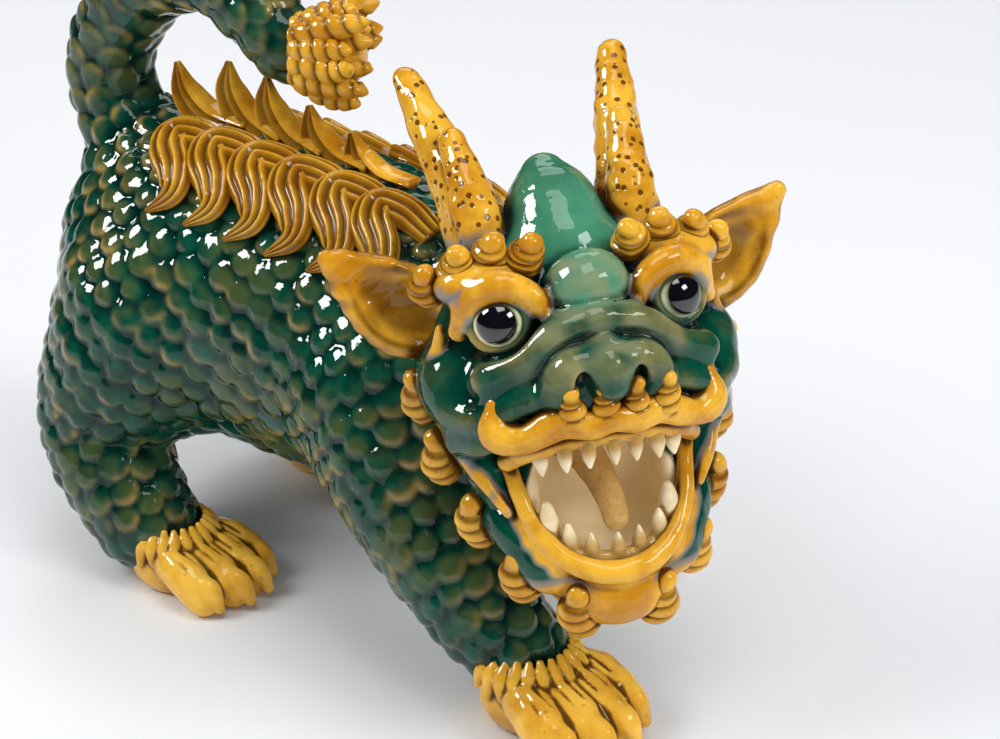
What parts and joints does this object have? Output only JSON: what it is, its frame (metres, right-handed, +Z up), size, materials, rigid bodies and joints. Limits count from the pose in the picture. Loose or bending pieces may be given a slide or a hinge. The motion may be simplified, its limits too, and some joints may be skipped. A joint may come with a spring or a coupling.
{
  "type": "foo dog statue",
  "caption": "Standing guardian dog figure with a horned, open-mouthed head, scaled body, arched tuft tail and flat paws, for display on a shelf.",
  "frame": {"origin": "middle of the bounding box at the height of the soles, on the ground plane", "axes": "+X forward along the body, towards the head; +Y to the dog's left; +Z up"},
  "size_m": [0.2071, 0.1174, 0.162],
  "materials": {
    "green_glaze": "glossy mottled green lead glaze",
    "amber_glaze": "glossy amber honey glaze",
    "cream_glaze": "thin clear glaze over cream clay",
    "black_glaze": "glossy black glaze with a pale green rim",
    "bisque_clay": "unglazed bisque clay"
  },
  "bodies": {
    "root": {"body_shell_right": "green_glaze", "body_shell_left": "green_glaze", "right_fore_leg": "green_glaze", "right_fore_paw": "amber_glaze", "left_fore_leg": "green_glaze", "left_fore_paw": "amber_glaze", "right_hind_leg": "green_glaze", "right_hind_paw": "amber_glaze", "left_hind_leg": "green_glaze", "left_hind_paw": "amber_glaze", "tail": "green_glaze", "tail_tuft": "amber_glaze", "skull_and_upper_jaw": "green_glaze", "lower_jaw": "amber_glaze", "crown_dome": "green_glaze", "forehead_knob": "green_glaze", "nose": "green_glaze", "moustache": "amber_glaze", "tongue": "bisque_clay", "upper_teeth": "cream_glaze", "lower_teeth": "cream_glaze", "right_eye": "black_glaze", "right_cheek_roll": "green_glaze", "right_brow": "amber_glaze", "right_horn": "amber_glaze", "right_brow_curls": "amber_glaze", "right_ear": "amber_glaze", "right_beard_curl_1": "amber_glaze", "right_beard_curl_2": "amber_glaze", "right_beard_curl_3": "amber_glaze", "right_beard_curl_4": "amber_glaze", "right_beard_curl_5": "amber_glaze", "right_mane_lock_1": "amber_glaze", "right_mane_lock_2": "amber_glaze", "right_mane_lock_3": "amber_glaze", "right_mane_lock_4": "amber_glaze", "right_mane_lock_5": "amber_glaze", "right_mane_lock_6": "amber_glaze", "left_eye": "black_glaze", "left_cheek_roll": "green_glaze", "left_brow": "amber_glaze", "left_horn": "amber_glaze", "left_brow_curls": "amber_glaze", "left_ear": "amber_glaze", "left_beard_curl_1": "amber_glaze", "left_beard_curl_2": "amber_glaze", "left_beard_curl_3": "amber_glaze", "left_beard_curl_4": "amber_glaze", "left_beard_curl_5": "amber_glaze", "left_mane_lock_1": "amber_glaze", "left_mane_lock_2": "amber_glaze", "left_mane_lock_3": "amber_glaze", "left_mane_lock_4": "amber_glaze", "left_mane_lock_5": "amber_glaze", "left_mane_lock_6": "amber_glaze", "crest_fin_1": "amber_glaze", "crest_fin_2": "amber_glaze", "crest_fin_3": "amber_glaze", "crest_fin_4": "amber_glaze", "crest_fin_5": "amber_glaze"}
  },
  "joints": []
}
